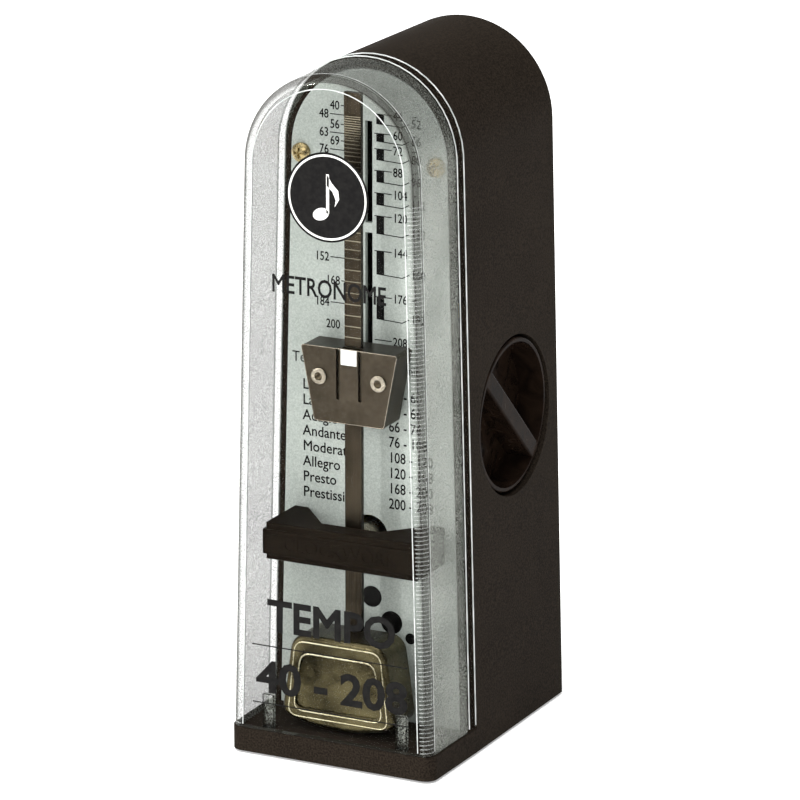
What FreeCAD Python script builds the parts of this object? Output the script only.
import FreeCAD, Part
import math
import os

from FreeCAD import Vector

# A clockwork metronome, in millimetres: +Z up, -Y is the front, the winding knob is on +X.
# The origin is the middle of the footprint, at the surface that the feet stand on.

# ---------------------------------------------------------------- driving sizes
height = 160.0            # overall, feet to the crown of the arch
width = 51.9              # across the case at the base
depth = 69.7              # front glass to back wall
front_width = 51.1        # across the base at its front edge
side_lean = 0.027         # inward lean of each side, mm per mm of height
cover_depth = 22.8        # clear cover, front to back
wall = 2.2                # case wall
base_height = 6.2         # top of the shelf that the cover stands on
floor_wall = 2.2          # plastic under the movement
foot_height = 0.6
foot_radius = 3.2
corner_radius = 2.9       # upright front corners of the base
back_edge_radius = 1.2

cover_wall = 1.9
cover_step = 0.35         # the rear rim stands proud of the cover's sides by this
rim_width = 3.4
cover_gap = 0.25          # cover to case seam
cover_edge_radius = 2.6   # rounded front edge, all round the arch
spigot_wall = 1.6
spigot_lip = 0.5          # black edge of the case that frames the scale plate
seat_gap = 0.15           # general clearance between fitted plastics
lug_x, lug_width, lug_top = 16.8, 2.6, 8.0
lug_depth, lug_reach = 1.5, 2.4

plate_front = 20.0        # scale plate's face, behind the cover's front
plate_thick = 1.2
plate_gap = 0.3
slot_half, slot_low, slot_split, slot_high = 0.9, 92.5, 121.0, 145.3
slot_bridge = 2.2
eye_radius = 4.7          # hole for the pallet arbor
scale_screw_x, scale_screw_z = 16.7, 136.5

pivot_z = 49.5            # pendulum axis
bracket_half, bracket_front, bracket_back = 19.5, 5.6, 10.6
bracket_low, bracket_high = 45.2, 53.8
bracket_arm = 4.0
bracket_web = 7.0         # half distance between the feet of the slanting webs
rod_half, rod_front, rod_thick, rod_top = 2.05, 12.0, 1.2, 153.3
arbor_radius = 1.0
pivot_clearance = 0.05

weight_top, weight_low = 95.3, 78.0
weight_half_top, weight_half_low = 12.0, 8.7
weight_front, weight_depth = 10.0, 7.6
clip_thick = 0.8
rod_clearance = 0.15
rivet_x, rivet_z = 7.4, 88.4
rivet_radius, rivet_bore, rivet_head, rivet_tail = 1.25, 0.95, 1.95, 1.7
tongue_half, tongue_slot, tongue_low = 2.3, 0.9, 83.9
mark_height = 3.6
weight_travel = 53.5

bob_front, bob_depth = 3.9, 10.6
bob_top, bob_half_top, bob_half_low = 29.0, 11.6, 14.2
bob_clearance = 1.1       # counterweight over the base shelf
bob_corner_rise = 4.2     # its lower corners above its bottom

knob_z = 74.0             # winding axis, from the ground
knob_margin = 4.3         # case left between the cover's seam and the knob's recess
well_radius, well_floor, well_floor_thick, well_wall = 18.6, 13.4, 1.6, 1.6
knob_gap = 0.7
knob_angle = -43.0        # grip bar, degrees from +Y towards +Z
grip_width = 4.3
square_half = 1.2         # winding square, half its side

frame_left, frame_right, frame_thick = -16.5, 11.5, 1.2
pressure_angle = 24.0
great_teeth, pinion_leaves, train_module = 60, 12, 0.5
second_teeth, crown_leaves, fine_module = 48, 12, 0.45
crown_teeth, crown_radius = 15, 9.0
crown_offset = 5.7        # crown wheel's axis in front of the winding axis
wheel_thick = 1.2
backlash = 0.10
barrel_radius, barrel_wall = 15.3, 0.9
spring_turns, spring_thick = 7, 0.35
ratchet_teeth, ratchet_radius = 24, 6.4

front = -depth / 2        # y of the cover's front face


def y_at(distance):
    """Row-frame y of a plane that far behind the cover's front."""
    return front + distance


knob_axis_y = y_at(cover_depth + well_radius + knob_margin)
crown_axis_y = knob_axis_y - crown_offset
case_front = y_at(cover_depth)
case_back = -front
plate_y = y_at(plate_front)
plate_back = plate_y + plate_thick
rod_y = y_at(rod_front)


# ---------------------------------------------------------------- small helpers
def box(x0, x1, y0, y1, z0, z1):
    return Part.makeBox(x1 - x0, y1 - y0, z1 - z0, Vector(x0, y0, z0))


def rod_x(radius, x0, x1, y, z):
    return Part.makeCylinder(radius, x1 - x0, Vector(x0, y, z), Vector(1, 0, 0))


def rod_along_y(radius, y0, y1, x, z):
    return Part.makeCylinder(radius, y1 - y0, Vector(x, y0, z), Vector(0, 1, 0))


def rod_z(radius, z0, z1, x, y):
    return Part.makeCylinder(radius, z1 - z0, Vector(x, y, z0), Vector(0, 0, 1))


def join(first, *others):
    return first.fuse(list(others)).removeSplitter()


def prism(points, direction):
    """Solid from a closed run of points, pushed along direction."""
    wire = Part.makePolygon([Vector(*p) for p in points] + [Vector(*points[0])])
    return Part.Face(wire).extrude(Vector(*direction))


def arch_wire(half, top, inset, low, y):
    """Upright outline with leaning sides under a round arch, taken in by inset, cut level at low."""
    slope = math.sqrt(1 + side_lean**2)
    radius = (half - side_lean * top) / (slope - side_lean)
    centre_z = top - radius
    radius -= inset
    half -= inset * slope
    reach, rise = radius / slope, radius * side_lean / slope
    left_low, right_low = Vector(-half + side_lean * low, y, low), Vector(half - side_lean * low, y, low)
    left_top, right_top = Vector(-reach, y, centre_z + rise), Vector(reach, y, centre_z + rise)
    crown = Vector(0, y, centre_z + radius)
    edges = [
        Part.LineSegment(left_low, right_low).toShape(),
        Part.LineSegment(right_low, right_top).toShape(),
        Part.Arc(right_top, crown, left_top).toShape(),
        Part.LineSegment(left_top, left_low).toShape(),
    ]
    return Part.Wire(edges)


def arch_solid(half, top, inset, low, y0, y1):
    return Part.Face(arch_wire(half, top, inset, low, y0)).extrude(Vector(0, y1 - y0, 0))


def arch_loft(inset, low, y0, y1):
    """Cover form between two depths: its outline grows from the front width to the case's."""
    wires = []
    for y in (y0, y1):
        share = (y - front) / cover_depth
        half = (front_width + (width - front_width) * share) / 2
        top = height - (width - front_width) / 2 * (1 - share)
        wires.append(arch_wire(half, top, inset, low, y))
    return Part.makeLoft(wires, True, True)


def gear_outline(teeth, module, phase, clearance):
    """Involute tooth outline in the YZ plane about the origin; phase is the angle of one tooth's middle."""
    pitch = teeth * module / 2
    base = pitch * math.cos(math.radians(pressure_angle))
    tip, root = pitch + 0.9 * module, pitch - 1.15 * module
    involute = lambda a: math.tan(a) - a
    half_pitch = math.pi / (2 * teeth) - clearance / (2 * pitch) + involute(math.radians(pressure_angle))
    points = []
    for tooth in range(teeth):
        middle = phase + 2 * math.pi * tooth / teeth
        flank = []
        for step in range(6):
            radius = max(root, base) + (tip - max(root, base)) * step / 5
            angle = half_pitch - involute(math.acos(min(1.0, base / radius)))
            flank.append((radius, angle))
        if root < base:
            flank.insert(0, (root, flank[0][1] * 1.05))
        for radius, angle in flank:
            points.append((radius, middle - angle))
        for radius, angle in reversed(flank):
            points.append((radius, middle + angle))
    return [(r * math.cos(a), r * math.sin(a)) for r, a in points]


def gear(teeth, module, phase, clearance, x0, x1, y, z):
    points = [(x0, y + dy, z + dz) for dy, dz in gear_outline(teeth, module, phase, clearance)]
    return prism(points, (x1 - x0, 0, 0))


def screw(tip, direction, shank, head, radius, head_radius, slot):
    """Round-headed slotted screw; tip is under the head, direction points out of the head."""
    out = Vector(*direction)
    at = Vector(*tip)
    body = Part.makeCylinder(radius, shank, at - out * shank, out)
    cap = Part.makeCylinder(head_radius, head, at, out)
    cap = cap.makeFillet(head * 0.6, [e for e in cap.Edges if e.BoundBox.Center.sub(at + out * head).Length < 1e-3
                                      and e.Length > head_radius])
    across = Vector(0, 0, 1) if abs(out.z) < 0.5 else Vector(0, 1, 0)
    along = out.cross(across)
    corner = at + out * (head - slot) - across * slot / 2 - along * head_radius
    cutter = Part.Face(Part.makePolygon([
        corner, corner + across * slot, corner + across * slot + along * 2 * head_radius,
        corner + along * 2 * head_radius, corner])).extrude(out * slot * 2)
    return body.fuse(cap).removeSplitter().cut(cutter)


# ---------------------------------------------------------------- case
def side_x(z):
    return width / 2 - side_lean * z


def base_block(z0, z1, inset):
    """Plan of the base shelf: narrower at the front, with round upright front corners."""
    half_front, half_back = front_width / 2 - inset, width / 2 - inset
    y0, y1 = front + inset, case_front
    block = prism([(-half_front, y0, z0), (half_front, y0, z0), (half_back, y1, z0), (-half_back, y1, z0)],
                  (0, 0, z1 - z0))
    radius = max(corner_radius - inset, 0.6)
    edges = [e for e in block.Edges
             if abs(e.Vertexes[0].Z - e.Vertexes[-1].Z) > 0.5 * (z1 - z0) and e.BoundBox.YMax < y0 + 0.1]
    return block.makeFillet(radius, edges)


def foot_places():
    inset = foot_radius + wall + 2.4
    return [(sx * (front_width / 2 - inset), y)
            for sx in (-1, 1) for y in (front + inset, case_back - inset)]


def base_screw_places():
    inset = wall + 2.2
    return [(sx * (front_width / 2 - inset), y)
            for sx in (-1, 1) for y in (front + inset + 12, case_back - inset - 12)]


plate_recess_top = foot_height + 1.4
frame_foot_y = case_back - wall - 2.0
frame_foot_places = [(x, z) for x in (frame_left + 4.6, frame_right - 3.4) for z in (50.0, 84.0)]


def make_case():
    outer = arch_solid(width / 2, height, 0, foot_height, case_front, case_back)
    rim = [e for e in outer.Edges if e.BoundBox.YMin > case_back - 0.01 and e.BoundBox.ZMax > foot_height + 1]
    outer = outer.makeFillet(back_edge_radius, rim)
    spigot_inset = cover_step + cover_wall + seat_gap
    spigot = arch_solid(width / 2, height, spigot_inset, base_height - 1, plate_y, case_front + 1)
    pocket = arch_solid(width / 2, height, spigot_inset + spigot_lip, base_height, plate_y - 1, plate_back)
    shell = join(outer, base_block(foot_height, base_height, 0), spigot)
    room = arch_solid(width / 2, height, wall, base_height, case_front, case_back - wall)
    mouth = arch_solid(width / 2, height, spigot_inset + spigot_wall, base_height, plate_back - 1, case_front + 2)
    under = join(base_block(foot_height - 1, base_height - floor_wall, wall),
                 box(-width / 2 + wall, width / 2 - wall, case_front - 1, case_back - wall,
                     foot_height - 1, base_height - floor_wall))
    shell = shell.cut([room, mouth, under, pocket])
    spigot_room = arch_solid(width / 2, height, spigot_inset, base_height, plate_back, case_back)
    bosses = [rod_along_y(3.6, plate_back, plate_back + 12, sx * scale_screw_x, scale_screw_z) for sx in (-1, 1)]
    bosses += [rod_z(2.6, plate_recess_top, base_height - 1, x, y) for x, y in base_screw_places()]
    bosses += [rod_along_y(2.4, frame_foot_y, case_back - 1, x, z) for x, z in frame_foot_places]
    bosses.append(rod_x(well_radius + well_wall, well_floor, side_x(knob_z) - wall + 0.8, knob_axis_y, knob_z))
    bosses.append(box(-18, 18, plate_back + plate_gap, plate_back + plate_gap + 1.4, base_height - 1, base_height + 2))
    bosses[0:2] = [b.common(spigot_room) for b in bosses[0:2]]
    shell = join(shell, *bosses)
    holes = [rod_along_y(0.85, plate_back - 1, plate_back + 8, sx * scale_screw_x, scale_screw_z) for sx in (-1, 1)]
    holes += [rod_z(0.85, plate_recess_top - 1, base_height - 1.2, x, y) for x, y in base_screw_places()]
    holes += [rod_along_y(0.75, frame_foot_y - 1, case_back - 0.8, x, z) for x, z in frame_foot_places]
    holes.append(rod_x(well_radius, well_floor + well_floor_thick, width, knob_axis_y, knob_z))
    holes.append(rod_x(2.6, well_floor - 1, well_floor + 3, knob_axis_y, knob_z))
    for sx in (-1, 1):
        x0 = sx * lug_x - lug_width / 2 - 0.3
        holes.append(box(x0, x0 + lug_width + 0.6, front + cover_wall - 0.3, front + cover_wall + lug_depth + 1.6,
                         base_height - lug_reach - 0.3, base_height + 1))
    return shell.cut(holes)


def make_base_plate():
    clear = wall + seat_gap
    plate = join(base_block(foot_height, plate_recess_top, clear),
                 box(-width / 2 + clear, width / 2 - clear, case_front - 1, case_back - clear,
                     foot_height, plate_recess_top))
    holes = [rod_z(1.0, 0, plate_recess_top + 1, x, y) for x, y in base_screw_places()]
    holes += [rod_z(2.1, 0, foot_height + 0.7, x, y) for x, y in base_screw_places()]
    return plate.cut(holes)


def make_feet():
    feet = []
    for x, y in foot_places():
        foot = rod_z(foot_radius, 0, foot_height, x, y)
        feet.append(foot.makeChamfer(0.2, [e for e in foot.Edges if e.BoundBox.ZMax < 0.01]))
    return Part.makeCompound(feet)


def make_base_screws():
    return Part.makeCompound([
        screw((x, y, foot_height + 0.7), (0, 0, -1), 3.2, 0.6, 0.8, 1.9, 0.35) for x, y in base_screw_places()])


# ---------------------------------------------------------------- clear cover
def make_cover():
    rear = case_front - cover_gap
    low = base_height + seat_gap
    body = arch_loft(cover_step, low, front, rear)
    outline = [e for e in body.Edges if e.BoundBox.YMax < front + 0.01 and e.BoundBox.ZMax > low + 1]
    body = body.makeFillet(cover_edge_radius, outline)
    rim = arch_loft(0, low, rear - rim_width, rear)
    body = join(body, rim)
    room = arch_loft(cover_step + cover_wall, low - 5, front + cover_wall, rear)
    room = join(room, arch_loft(cover_step + cover_wall, low - 5, rear - 1, case_front))
    body = body.cut(room)
    lugs = []
    for sx in (-1, 1):
        x0 = sx * lug_x - lug_width / 2
        lugs.append(box(x0, x0 + lug_width, front + cover_wall - 0.2, front + cover_wall + lug_depth,
                        base_height - lug_reach, base_height + lug_top))
    return join(body, *lugs)


# ---------------------------------------------------------------- scale plate and bracket
def make_scale_plate():
    inset = cover_step + cover_wall + seat_gap + spigot_lip + 0.1
    plate = arch_solid(width / 2, height, inset, base_height + 0.05, plate_y, plate_back)
    holes = [
        box(-slot_half, slot_half, plate_y - 1, plate_back + 1, slot_low, slot_split - slot_bridge / 2),
        box(-slot_half, slot_half, plate_y - 1, plate_back + 1, slot_split + slot_bridge / 2, slot_high),
        rod_along_y(eye_radius, plate_y - 1, plate_back + 1, 0, pivot_z),
    ]
    holes += [rod_along_y(1.1, plate_y - 1, plate_back + 1, sx * scale_screw_x, scale_screw_z) for sx in (-1, 1)]
    holes += [rod_along_y(1.0, plate_y - 1, plate_back + 1, sx * bracket_screw_x, pivot_z) for sx in (-1, 1)]
    return plate.cut(holes)


bracket_screw_x = bracket_half - bracket_arm / 2


def make_scale_screws():
    made = []
    for sx in (-1, 1):
        at = Vector(sx * scale_screw_x, plate_y, scale_screw_z)
        shank = rod_along_y(0.8, at.y, at.y + 8, at.x, at.z)
        dome = Part.makeSphere(3.0, at + Vector(0, 1.3, 0)).common(rod_along_y(2.2, at.y - 3, at.y, at.x, at.z))
        cross = [box(at.x - 1.3, at.x + 1.3, at.y - 3, at.y - 0.9, at.z - 0.25, at.z + 0.25),
                 box(at.x - 0.25, at.x + 0.25, at.y - 3, at.y - 0.9, at.z - 1.3, at.z + 1.3)]
        made.append(join(shank, dome).cut(cross))
    return Part.makeCompound(made)


def make_bracket():
    y0, y1 = y_at(bracket_front), y_at(bracket_back)
    bar = box(-bracket_half + 0.6, bracket_half - 0.6, y0, y1, bracket_low, bracket_high)
    bar = bar.makeFillet(0.5, [e for e in bar.Edges if e.BoundBox.YMax < y0 + 0.01])
    face = box(-bracket_half, bracket_half, y0 - 0.6, y0 + 1.6, bracket_low + 1.3, bracket_high - 1.5)
    face = face.makeFillet(0.5, [e for e in face.Edges if e.BoundBox.YMax < y0 - 0.59])
    parts = [face]
    for sx in (-1, 1):
        outer, inner = sx * (bracket_half - 0.6), sx * (bracket_half - bracket_arm)
        parts.append(prism([(outer, y0 + 1, bracket_low), (outer, plate_y, bracket_low),
                            (inner, plate_y, bracket_low), (sx * bracket_web, y1 - 0.3, bracket_low),
                            (sx * bracket_web, y0 + 1, bracket_low)],
                           (0, 0, bracket_high - bracket_low)))
    bar = join(bar, *parts)
    gap = box(-8.5, 8.5, y1 - 1.6, y1 + 1, bracket_low + 1.2, bracket_high - 1.2)
    boss = rod_along_y(2.6, y1 - 2, y1 + 0.4, 0, pivot_z)
    bar = join(bar.cut(gap), boss)
    holes = [rod_along_y(0.75, plate_y - 5, plate_y + 1, sx * bracket_screw_x, pivot_z) for sx in (-1, 1)]
    holes.append(rod_along_y(arbor_radius * 0.7 + pivot_clearance, y1 - 2.2, y1 + 1, 0, pivot_z))
    return bar.cut(holes)


def make_bracket_screws():
    return Part.makeCompound([
        screw((sx * bracket_screw_x, plate_back, pivot_z), (0, 1, 0), 5.0, 0.9, 0.7, 1.5, 0.35) for sx in (-1, 1)])


# ---------------------------------------------------------------- pendulum
scale_marks = list(range(40, 60, 2)) + list(range(60, 72, 3)) + list(range(72, 120, 4)) \
    + list(range(120, 144, 6)) + list(range(144, 209, 8))
scale_top, scale_slope, scale_bend, scale_twist = 156.9, 0.1807, 0.001103, 2.65e-6


def beat_height(beats):
    """Height of the sliding weight's top edge for so many beats a minute."""
    return scale_top - scale_slope * beats - scale_bend * beats**2 + scale_twist * beats**3


def make_rod():
    rod = box(-rod_half, rod_half, rod_y, rod_y + rod_thick, bob_top - 14, rod_top)
    cutters = []
    for beats in scale_marks:
        z = beat_height(beats)
        cutters.append(box(-rod_half - 1, rod_half + 1, rod_y - 1, rod_y + 0.12, z - 0.14, z + 0.14))
    hole = rod_along_y(arbor_radius, rod_y - 1, rod_y + rod_thick + 1, 0, pivot_z)
    return rod.cut(cutters + [hole])


def make_arbor():
    y0, y1 = y_at(bracket_back) - 2.0, y_at(cock_y) + 1.5
    shaft = rod_along_y(arbor_radius, y0 + 2.6, y1 - 1.7, 0, pivot_z)
    front_pin = rod_along_y(arbor_radius * 0.7, y0, y0 + 2.7, 0, pivot_z)
    back_pin = rod_along_y(arbor_radius * 0.7, y1 - 1.8, y1, 0, pivot_z)
    shaft = join(shaft, front_pin, back_pin)
    for side, lift in ((-1, 1), (1, -1)):
        y = crown_axis_y + side * (crown_radius - 0.5)
        flag = box(-pallet_reach, 0, y - 1.2, y + 1.2, pivot_z - 0.3, pivot_z + 0.3)
        flag.rotate(Vector(0, y, pivot_z), Vector(0, 1, 0), lift * pallet_open)
        collar = rod_along_y(arbor_radius + 0.5, y - 1.6, y + 1.6, 0, pivot_z)
        shaft = join(shaft, flag, collar)
    return shaft


pallet_reach, pallet_open = 3.1, 50.0
cock_y = 53.5


def make_rod_hub():
    """Brass hub that clamps the rod on its arbor, with the collar that shows in the plate's eye."""
    disc = rod_along_y(3.0, rod_y + rod_thick, rod_y + rod_thick + 1.6, 0, pivot_z)
    collar = rod_along_y(3.4, rod_y + rod_thick + 1.6, plate_back + 2.0, 0, pivot_z)
    washer = rod_along_y(1.9, rod_y - 0.5, rod_y, 0, pivot_z)
    bore = rod_along_y(arbor_radius, rod_y - 2, plate_back + 4, 0, pivot_z)
    return Part.makeCompound([join(disc, collar).cut(bore), washer.cut(bore)])


def make_bob():
    """Counterweight: a thick rounded trapezium whose underside follows its own swing."""
    y0, y1 = y_at(bob_front), y_at(bob_front + bob_depth)
    bottom = base_height + bob_clearance
    bob_radius = pivot_z - bottom
    bob_low_corner = bottom + bob_corner_rise
    blank = prism([(-bob_half_low - 0.6, y0, bottom - 1), (bob_half_low + 0.6, y0, bottom - 1),
                   (bob_half_low, y0, bob_low_corner), (bob_half_top, y0, bob_top),
                   (-bob_half_top, y0, bob_top), (-bob_half_low, y0, bob_low_corner)], (0, y1 - y0, 0))
    round_low = rod_along_y(bob_radius, y0, y1, 0, pivot_z)
    body = blank.common(round_low).removeSplitter()
    tall = [e for e in body.Edges if e.BoundBox.YLength > 0.9 * bob_depth and e.BoundBox.ZMin > bob_top - 1]
    body = body.makeFillet(4.0, tall)
    low = [e for e in body.Edges if e.BoundBox.YLength > 0.9 * bob_depth and e.BoundBox.ZMax < bob_low_corner - 1]
    body = body.makeFillet(2.6, low)
    rim = [e for e in body.Edges if e.BoundBox.YMax < y0 + 0.01]
    body = body.makeFillet(1.2, rim)
    panel = prism([(-bob_half_low + 3.0, y0 - 1, bottom + 4.4), (bob_half_low - 3.0, y0 - 1, bottom + 4.4),
                   (bob_half_top - 2.6, y0 - 1, bob_top - 3.4), (-bob_half_top + 2.6, y0 - 1, bob_top - 3.4)],
                  (0, 1.6, 0))
    panel = panel.makeFillet(2.0, [e for e in panel.Edges if e.BoundBox.YLength > 1])
    slot = box(-rod_half, rod_half, rod_y, rod_y + rod_thick, bob_top - 14, bob_top + 1)
    return body.cut([panel, slot])


def trapezium(y0, y1, grow=0.0):
    return prism([(-weight_half_low - grow, y0, weight_low), (weight_half_low + grow, y0, weight_low),
                  (weight_half_top + grow, y0, weight_top), (-weight_half_top - grow, y0, weight_top)],
                 (0, y1 - y0, 0))


def make_weight_body():
    y0, y1 = y_at(weight_front) + clip_thick, y_at(weight_front + weight_depth)
    body = trapezium(y0, y1)
    body = body.makeFillet(0.8, [e for e in body.Edges if e.BoundBox.YLength > 0.9 * (y1 - y0)])
    channel = box(-rod_half - rod_clearance, rod_half + rod_clearance, y0 - 1, rod_y + rod_thick + rod_clearance,
                  weight_low - 1, weight_top + 1)
    holes = [rod_along_y(rivet_radius, y0 - 1, y1 + 1, sx * rivet_x, rivet_z) for sx in (-1, 1)]
    return body.cut([channel] + holes)


def make_weight_clip():
    y0 = y_at(weight_front)
    plate = trapezium(y0, y0 + clip_thick)
    plate = plate.makeFillet(0.7, [e for e in plate.Edges if e.BoundBox.YLength > 0.9 * clip_thick])
    cuts = []
    for sx in (-1, 1):
        x = sx * (tongue_half + tongue_slot / 2)
        cuts.append(box(x - tongue_slot / 2, x + tongue_slot / 2, y0 - 1, y0 + 2, tongue_low, weight_top + 1))
        cuts.append(rod_along_y(tongue_slot / 2, y0 - 1, y0 + 2, x, tongue_low))
        cuts.append(rod_along_y(rivet_radius, y0 - 1, y0 + 2, sx * rivet_x, rivet_z))
    detent = box(-1.2, 1.2, y0 + clip_thick - 0.1, rod_y - 0.1, weight_top - 5.0, weight_top - 4.2)
    return join(plate.cut(cuts), detent)


def make_weight_rivets():
    y0, y1 = y_at(weight_front), y_at(weight_front + weight_depth)
    made = []
    for sx in (-1, 1):
        x = sx * rivet_x
        head = rod_along_y(rivet_head, y0 - 0.5, y0, x, rivet_z)
        head = head.makeFillet(0.3, [e for e in head.Edges if e.BoundBox.YMax < y0 - 0.49])
        tail = rod_along_y(rivet_tail, y1, y1 + 0.4, x, rivet_z)
        made.append(join(rod_along_y(rivet_radius, y0, y1, x, rivet_z), head, tail)
                    .cut(rod_along_y(rivet_bore, y0 - 1, y0 + 1, x, rivet_z)))
    return Part.makeCompound(made)


def make_index_mark():
    y0 = y_at(weight_front)
    return box(-tongue_half + 0.35, tongue_half - 0.35, y0 - 0.12, y0, weight_top - mark_height, weight_top - 0.1)


# ---------------------------------------------------------------- clockwork
great_pitch = great_teeth * train_module / 2
leaf_pitch = pinion_leaves * train_module / 2
second_pitch = second_teeth * fine_module / 2
crown_pitch = crown_leaves * fine_module / 2


def second_axis():
    """Place of the second arbor, in mesh with both neighbours."""
    dy, dz = knob_axis_y - crown_axis_y, knob_z - pivot_z
    span = math.hypot(dy, dz)
    low, high = second_pitch + crown_pitch, great_pitch + leaf_pitch
    along = (low**2 - high**2 + span**2) / (2 * span)
    off = math.sqrt(low**2 - along**2)
    return (crown_axis_y + (along * dy + off * dz) / span, pivot_z + (along * dz - off * dy) / span)


second_y, second_z = second_axis()
great_x0, great_x1 = -1.7, -1.7 + wheel_thick
barrel_x0, barrel_x1 = 0.8, frame_right
fine_x0, fine_x1 = frame_left + frame_thick + 1.0, frame_left + frame_thick + 1.0 + wheel_thick
crown_back, crown_tips = -8.6, -3.0
cock_x0, cock_x1 = -11.0, -9.9
pin_radius = 0.75


def angle_to(y0, z0, y1, z1):
    return math.atan2(z1 - z0, y1 - y0)


toward_second = angle_to(knob_axis_y, knob_z, second_y, second_z)
toward_crown = angle_to(second_y, second_z, crown_axis_y, pivot_z)
frame_corners = [(y_at(29.0), 88.0), (y_at(62.0), 92.0), (y_at(27.0), 42.0), (y_at(62.0), 41.0)]


def frame_plate(x0, foot_sign, holes):
    y0, y1, z0, z1 = y_at(24.5), frame_foot_y, 38.5, 95.0
    plate = box(x0, x0 + frame_thick, y0, y1, z0, z1)
    plate = plate.makeFillet(3.0, [e for e in plate.Edges
                                   if e.BoundBox.XLength > 0.9 * frame_thick and e.BoundBox.YMax < y1 - 1])
    foot_x = x0 if foot_sign > 0 else x0 + frame_thick - 8.0
    foot = box(foot_x, foot_x + 8.0, y1 - frame_thick, y1, 44.0, 90.0)
    plate = join(plate, foot)
    cuts = [rod_x(r, x0 - 1, x0 + frame_thick + 1, y, z) for y, z, r in holes]
    cuts += [rod_x(0.75, x0 - 1, x0 + frame_thick + 1, y, z) for y, z in frame_corners]
    cuts += [rod_along_y(1.0, y1 - 3, y1 + 1, x, z) for x, z in frame_foot_places if foot_x < x < foot_x + 8.0]
    return plate.cut(cuts)


def make_frame_left():
    pins = [(knob_axis_y, knob_z, 1.4 + pivot_clearance), (second_y, second_z, pin_radius + pivot_clearance),
            (crown_axis_y, pivot_z, pin_radius + pivot_clearance)]
    pins += [(y, z, 0.6) for y, z in cock_posts]
    return frame_plate(frame_left, 1, pins)


def make_frame_right():
    pins = [(knob_axis_y, knob_z, 2.2 + pivot_clearance), (second_y, second_z, pin_radius + pivot_clearance)]
    pins += [(y_at(cock_y) + 3.0, z, 0.6) for z in (pivot_z - 3, pivot_z + 3)]
    pins += [(knob_axis_y + 12.0 * math.cos(a), knob_z + 12.0 * math.sin(a), 0.7) for a in barrel_screw_angles]
    return frame_plate(frame_right, -1, pins)


barrel_screw_angles = [math.radians(d) for d in (40, 160, 280)]
cock_posts = [(crown_axis_y - 5.5, pivot_z - 7.0), (crown_axis_y - 5.5, pivot_z + 7.0)]


def make_pillars():
    inner = frame_left + frame_thick
    return Part.makeCompound([
        rod_x(1.7, inner, frame_right, y, z).cut([
            rod_x(0.6, inner - 1, inner + 4, y, z), rod_x(0.6, frame_right - 4, frame_right + 1, y, z)])
        for y, z in frame_corners])


def make_pillar_screws():
    made = []
    for y, z in frame_corners:
        made.append(screw((frame_left, y, z), (-1, 0, 0), 4.2, 0.9, 0.55, 1.6, 0.35))
        made.append(screw((frame_right + frame_thick, y, z), (1, 0, 0), 4.2, 0.6, 0.55, 1.6, 0.3))
    return Part.makeCompound(made)


def make_frame_screws():
    return Part.makeCompound([
        screw((x, frame_foot_y - frame_thick, z), (0, -1, 0), 3.4, 0.9, 0.7, 1.7, 0.35)
        for x, z in frame_foot_places])


def make_barrel():
    drum = rod_x(barrel_radius, barrel_x0 + 0.8, barrel_x1, knob_axis_y, knob_z)
    room = rod_x(barrel_radius - barrel_wall, barrel_x0, barrel_x1 - 0.9, knob_axis_y, knob_z)
    bore = rod_x(3.2 + 0.2, barrel_x0, barrel_x1 + 1, knob_axis_y, knob_z)
    holes = [rod_x(0.55, barrel_x1 - 2, barrel_x1 + 1, knob_axis_y + 12.0 * math.cos(a),
                   knob_z + 12.0 * math.sin(a)) for a in barrel_screw_angles]
    return drum.cut([room, bore] + holes)


def make_barrel_screws():
    return Part.makeCompound([
        screw((frame_right + frame_thick, knob_axis_y + 12.0 * math.cos(a), knob_z + 12.0 * math.sin(a)),
              (1, 0, 0), 2.0, 0.5, 0.5, 1.4, 0.25) for a in barrel_screw_angles])


def make_barrel_cap():
    cap = rod_x(barrel_radius, barrel_x0, barrel_x0 + 0.8, knob_axis_y, knob_z)
    return cap.cut(rod_x(2.2, barrel_x0 - 1, barrel_x0 + 2, knob_axis_y, knob_z))


def make_mainspring():
    """Wound strip: half circles of growing radius, struck from two centres in turn."""
    inner, outer = 3.3, barrel_radius - barrel_wall - 0.25
    pitch = (outer - spring_thick - inner) / spring_turns
    x0, x1 = barrel_x0 + 1.3, barrel_x1 - 1.4

    def spiral(start):
        edges = []
        for half in range(2 * spring_turns - 1):
            sign = 1 if half % 2 == 0 else -1
            centre = 0.0 if sign > 0 else -pitch / 2
            radius = start + half * pitch / 2
            first = Vector(x0, knob_axis_y + centre - sign * radius, knob_z)
            last = Vector(x0, knob_axis_y + centre + sign * radius, knob_z)
            middle = Vector(x0, knob_axis_y + centre, knob_z + sign * radius)
            edges.append(Part.Arc(first, middle, last).toShape())
        return edges

    inside, outside = spiral(inner), spiral(inner + spring_thick)
    ends = [Part.LineSegment(inside[0].Vertexes[0].Point, outside[0].Vertexes[0].Point).toShape(),
            Part.LineSegment(inside[-1].Vertexes[-1].Point, outside[-1].Vertexes[-1].Point).toShape()]
    wire = Part.Wire(Part.__sortEdges__(inside + outside + ends))
    return Part.Face(wire).extrude(Vector(x1 - x0, 0, 0))


def make_winding_arbor():
    left = rod_x(1.4, frame_left - 0.6, great_x0 - 1.5, knob_axis_y, knob_z)
    waist = rod_x(1.9, great_x0 - 1.6, barrel_x0 + 1.2, knob_axis_y, knob_z)
    core = rod_x(3.15, barrel_x0 + 1.2, barrel_x1 - 1.3, knob_axis_y, knob_z)
    right = rod_x(2.2, barrel_x1 - 1.4, well_floor + well_floor_thick + 0.4, knob_axis_y, knob_z)
    return join(left, waist, core, right, winding_square(knob_back - 0.1, knob_square_end))


knob_back = well_floor + well_floor_thick + 0.4
knob_rim = side_x(knob_z) - 0.5
knob_square_end = knob_back + 5.6


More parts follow.
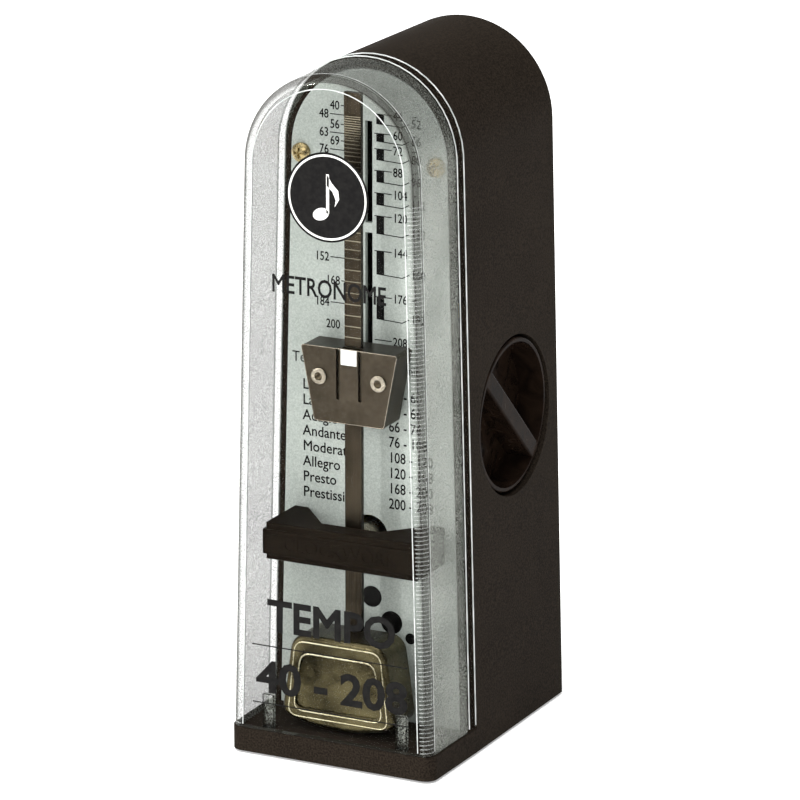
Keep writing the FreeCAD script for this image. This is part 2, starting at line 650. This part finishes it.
def winding_square(x0, x1):
    return box(x0, x1, knob_axis_y - square_half, knob_axis_y + square_half,
               knob_z - square_half, knob_z + square_half)


def make_ratchet():
    points = []
    for tooth in range(ratchet_teeth):
        a = 2 * math.pi * tooth / ratchet_teeth
        points.append((ratchet_radius, a))
        points.append((ratchet_radius - 0.9, a + 0.04))
    ring = [(great_x0 - 1.4, knob_axis_y + r * math.cos(a), knob_z + r * math.sin(a)) for r, a in points]
    return prism(ring, (1.1, 0, 0)).cut(rod_x(1.9, -9, 3, knob_axis_y, knob_z))


def make_great_wheel():
    wheel = gear(great_teeth, train_module, toward_second, backlash, great_x0, great_x1, knob_axis_y, knob_z)
    cuts = [rod_x(1.9 + pivot_clearance, -9, 3, knob_axis_y, knob_z)]
    for spoke in range(5):
        a = click_angle + math.pi / 5 + 2 * math.pi * spoke / 5
        cuts.append(rod_x(2.6, -9, 3, knob_axis_y + 10.2 * math.cos(a), knob_z + 10.2 * math.sin(a)))
    cuts.append(rod_x(0.6, -9, 3, *click_pivot))
    return wheel.cut(cuts)


click_angle = math.radians(90)
click_wire = 0.2
click_pivot = (knob_axis_y + 9.6 * math.cos(click_angle), knob_z + 9.6 * math.sin(click_angle))


def make_click():
    """Pawl on the great wheel; its nose stands in a gap of the ratchet, against the steep face of a tooth."""
    x0 = great_x0 - 1.4
    py, pz = click_pivot
    tooth = click_angle - 3 * 2 * math.pi / ratchet_teeth
    outline = [(ratchet_radius - 0.7, tooth + 0.07), (ratchet_radius + 0.5, tooth + 0.035),
               (ratchet_radius + 1.5, tooth + 0.15), (9.6 + 0.6, click_angle - 0.13),
               (9.6 - 1.3, click_angle + 0.05), (ratchet_radius + 0.2, tooth + 0.2)]
    arm = prism([(x0, knob_axis_y + r * math.cos(a), knob_z + r * math.sin(a)) for r, a in outline], (1.1, 0, 0))
    disc = rod_x(1.5, x0, x0 + 1.1, py, pz)
    return join(arm, disc).cut(rod_x(0.6 + pivot_clearance, x0 - 1, x0 + 3, py, pz))


def make_click_spring():
    """Wire spring round the click's stud, with a leg that bears on the click's back."""
    py, pz = click_pivot
    x = great_x0 - 1.4 - click_wire
    coil = Part.makeTorus(1.3 + click_wire + 0.1, click_wire, Vector(x, py, pz), Vector(1, 0, 0))
    leg = Part.makeCylinder(click_wire, 4.2, Vector(x, py + 1.3, pz + 0.9), Vector(0, 0.62, -0.785))
    return join(coil, leg)


def make_click_stud():
    py, pz = click_pivot
    head = rod_x(1.3, great_x0 - 1.9, great_x0 - 1.45, py, pz)
    return join(rod_x(0.6, great_x0 - 1.5, great_x1, py, pz), head)


def make_second_pinion():
    inner = frame_left + frame_thick
    shaft = rod_x(1.1, inner + 0.3, frame_right - 0.3, second_y, second_z)
    pins = rod_x(pin_radius, frame_left, frame_right + frame_thick, second_y, second_z)
    leaves = gear(pinion_leaves, train_module, toward_second + math.pi + math.pi / pinion_leaves, backlash,
                  great_x0 - 1.0, barrel_x0 - 0.5, second_y, second_z)
    return join(shaft, pins, leaves)


def make_second_wheel():
    wheel = gear(second_teeth, fine_module, toward_crown, backlash, fine_x0, fine_x1, second_y, second_z)
    cuts = [rod_x(1.1, fine_x0 - 1, fine_x1 + 1, second_y, second_z)]
    for spoke in range(4):
        a = math.pi / 4 + spoke * math.pi / 2
        cuts.append(rod_x(2.3, fine_x0 - 1, fine_x1 + 1, second_y + 6.2 * math.cos(a), second_z + 6.2 * math.sin(a)))
    return wheel.cut(cuts)


def make_crown_arbor():
    shaft = rod_x(1.0, frame_left + frame_thick + 0.3, cock_x0 - 0.2, crown_axis_y, pivot_z)
    pins = rod_x(pin_radius, frame_left, crown_back + 1.4, crown_axis_y, pivot_z)
    leaves = gear(crown_leaves, fine_module, toward_crown + math.pi + math.pi / crown_leaves, backlash,
                  fine_x0 - 0.4, fine_x1 + 0.4, crown_axis_y, pivot_z)
    return join(shaft, pins, leaves)


def make_crown_wheel():
    cup = rod_x(crown_radius, crown_back, crown_back + 3.0, crown_axis_y, pivot_z)
    cup = cup.cut(rod_x(crown_radius - 1.0, crown_back + 1.2, 0, crown_axis_y, pivot_z))
    root = crown_back + 2.8
    base, lean = 2 * math.pi * (crown_radius - 0.5) / crown_teeth * 0.62, 0.9
    teeth = []
    for tooth in range(crown_teeth):
        blade = prism([(root, crown_axis_y - base / 2, pivot_z + crown_radius - 0.95),
                       (root, crown_axis_y + base / 2, pivot_z + crown_radius - 0.95),
                       (crown_tips, crown_axis_y + base / 2 + lean - 0.25, pivot_z + crown_radius - 0.95),
                       (crown_tips, crown_axis_y + base / 2 + lean - 0.6, pivot_z + crown_radius - 0.95)],
                      (0, 0, 0.75))
        blade.rotate(Vector(0, crown_axis_y, pivot_z), Vector(1, 0, 0), 360 * (tooth + 0.5) / crown_teeth)
        teeth.append(blade)
    spokes = [rod_x(1.9, crown_back - 1, crown_back + 2, crown_axis_y + 4.9 * math.cos(a),
                    pivot_z + 4.9 * math.sin(a)) for a in (math.pi / 4 + k * math.pi / 2 for k in range(4))]
    return join(cup, *teeth).cut(spokes + [rod_x(pin_radius, crown_back - 1, 0, crown_axis_y, pivot_z)])


def make_crown_cock():
    """Inner bearing of the crown wheel's arbor, on two posts from the left plate."""
    plate = box(cock_x0, cock_x1, crown_axis_y - 8.0, crown_axis_y + 2.4, pivot_z - 9.5, pivot_z + 9.5)
    plate = plate.makeFillet(1.5, [e for e in plate.Edges if e.BoundBox.XLength > 1])
    posts = [rod_x(1.4, frame_left + frame_thick, cock_x0, y, z) for y, z in cock_posts]
    plate = join(plate, *posts)
    return plate.cut([rod_x(pin_radius + pivot_clearance, cock_x0 - 1, cock_x1 + 1, crown_axis_y, pivot_z)]
                     + [rod_x(0.55, frame_left, cock_x0 - 0.6, y, z) for y, z in cock_posts])


def make_cock_screws():
    made = [screw((frame_left, y, z), (-1, 0, 0), 3.4, 0.8, 0.5, 1.4, 0.3) for y, z in cock_posts]
    made += [screw((frame_right + frame_thick, y_at(cock_y) + 3.0, z), (1, 0, 0), 2.0, 0.5, 0.5, 1.3, 0.25)
             for z in (pivot_z - 3, pivot_z + 3)]
    return Part.makeCompound(made)


def make_rear_cock():
    """Rear bearing of the pallet arbor: a bent strap on the right plate."""
    y0 = y_at(cock_y)
    strap = box(-2.8, frame_right, y0, y0 + 1.2, pivot_z - 4.0, pivot_z + 4.0)
    foot = box(frame_right - 1.2, frame_right, y0, y0 + 6.0, pivot_z - 5.0, pivot_z + 5.0)
    holes = [rod_along_y(arbor_radius * 0.7 + pivot_clearance, y0 - 1, y0 + 3, 0, pivot_z)]
    holes += [rod_x(0.55, frame_right - 3, frame_right + 1, y0 + 3.0, z) for z in (pivot_z - 3, pivot_z + 3)]
    return join(strap, foot).cut(holes)


def make_knob():
    radius = well_radius - knob_gap
    cup = rod_x(radius, knob_back, knob_rim, knob_axis_y, knob_z)
    cup = cup.makeFillet(0.5, [e for e in cup.Edges if e.BoundBox.XMin > knob_rim - 0.01])
    dish = rod_x(radius - 1.1, knob_back + 1.6, knob_rim + 1, knob_axis_y, knob_z)
    bar = box(knob_back + 1, knob_rim, -radius + 0.6, radius - 0.6, -grip_width / 2, grip_width / 2)
    bar = bar.makeFillet(0.5, [e for e in bar.Edges if e.BoundBox.XMin > knob_rim - 0.01 and e.Length > 10])
    bar.rotate(Vector(0, 0, 0), Vector(1, 0, 0), knob_angle)
    bar.translate(Vector(0, knob_axis_y, knob_z))
    inside = rod_x(radius - 0.6, knob_back, knob_rim, knob_axis_y, knob_z)
    return join(cup.cut(dish), bar.common(inside)).cut(winding_square(knob_back - 1, knob_square_end))


NODES = {
    "case_shell": make_case, "base_plate": make_base_plate, "rubber_feet": make_feet,
    "base_screws": make_base_screws, "front_cover": make_cover, "scale_plate": make_scale_plate,
    "scale_plate_screws": make_scale_screws, "pendulum_bracket": make_bracket,
    "bracket_screws": make_bracket_screws, "pendulum_rod": make_rod, "pallet_arbor": make_arbor,
    "rod_hub": make_rod_hub, "counterweight": make_bob, "sliding_weight_body": make_weight_body,
    "sliding_weight_clip": make_weight_clip, "weight_rivets": make_weight_rivets,
    "weight_index_mark": make_index_mark, "frame_plate_left": make_frame_left,
    "frame_plate_right": make_frame_right, "frame_pillars": make_pillars, "pillar_screws": make_pillar_screws,
    "frame_screws": make_frame_screws, "spring_barrel": make_barrel, "barrel_screws": make_barrel_screws,
    "barrel_cap": make_barrel_cap, "mainspring": make_mainspring, "winding_arbor": make_winding_arbor,
    "ratchet_wheel": make_ratchet, "great_wheel": make_great_wheel, "click": make_click, "click_spring": make_click_spring,
    "click_stud": make_click_stud, "second_pinion": make_second_pinion, "second_wheel": make_second_wheel,
    "crown_pinion": make_crown_arbor, "crown_wheel": make_crown_wheel, "crown_wheel_cock": make_crown_cock,
    "cock_screws": make_cock_screws, "pallet_rear_cock": make_rear_cock, "winding_knob": make_knob,
}


def main():
    os.makedirs("parts", exist_ok=True)
    for name, make in NODES.items():
        shape = make()
        solids = shape.Solids
        valid = all(s.isValid() for s in solids)
        print(f"{name:22s} solids {len(solids)} volume {sum(s.Volume for s in solids):9.1f} valid {valid}")
        out = solids[0] if len(solids) == 1 else Part.makeCompound(solids)
        out.exportStep(f"parts/{name}.step")


main()
